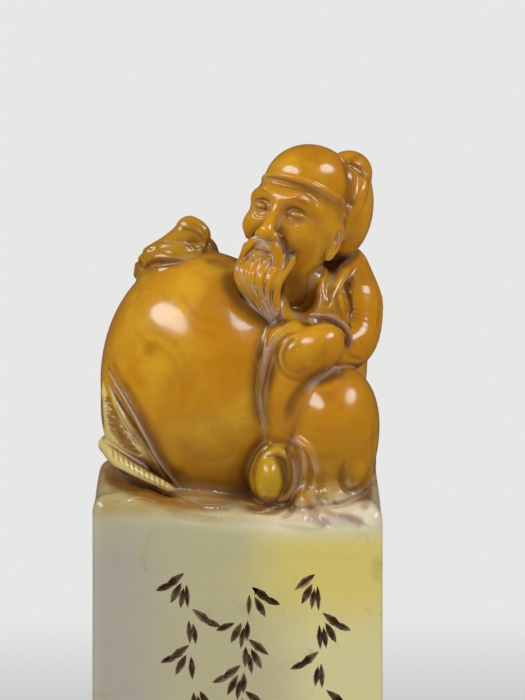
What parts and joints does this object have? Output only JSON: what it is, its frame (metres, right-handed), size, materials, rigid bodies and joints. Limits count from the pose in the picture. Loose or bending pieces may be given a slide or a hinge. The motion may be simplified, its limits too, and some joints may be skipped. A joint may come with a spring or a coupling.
{
  "type": "seal stamp",
  "caption": "Carved stone seal: a square shaft with a relief printing face below, and a knob carved as a seated elder leaning on a wine jar.",
  "frame": {"origin": "middle of the printing face, which is the bottom of the bounding box", "axes": "+Z along the shaft from the printing face up to the knob, -Y towards the front seen in the picture, +X to its right"},
  "size_m": [0.03, 0.03, 0.0912],
  "materials": {
    "amber_stone": "polished",
    "pale_stone": "polished"
  },
  "bodies": {
    "root": {"printing_face": "pale_stone", "stone_shaft": "pale_stone", "rock_ledge": "pale_stone", "left_shoe": "amber_stone", "hem_fold_right": "amber_stone", "hem_fold_left": "amber_stone", "trouser_cuff": "amber_stone", "left_hand": "amber_stone", "left_cuff": "amber_stone", "raised_knee": "amber_stone", "moustache_right": "amber_stone", "moustache_left": "amber_stone", "beard": "amber_stone", "cap_edge": "amber_stone", "cap_knot": "amber_stone", "cap_dome": "amber_stone", "head": "amber_stone", "cap_back": "amber_stone", "outer_collar": "amber_stone", "inner_collar": "amber_stone", "left_sleeve": "amber_stone", "fan_rim": "amber_stone", "fan_midrib": "amber_stone", "fan_leaf": "amber_stone", "cover_knot": "amber_stone", "jar_cover": "amber_stone", "cover_skirt": "amber_stone", "robe_front": "amber_stone", "wine_jar": "amber_stone", "robe_chest": "amber_stone", "right_sleeve": "amber_stone", "robe_body": "amber_stone", "robe_seat": "amber_stone"}
  },
  "joints": []
}
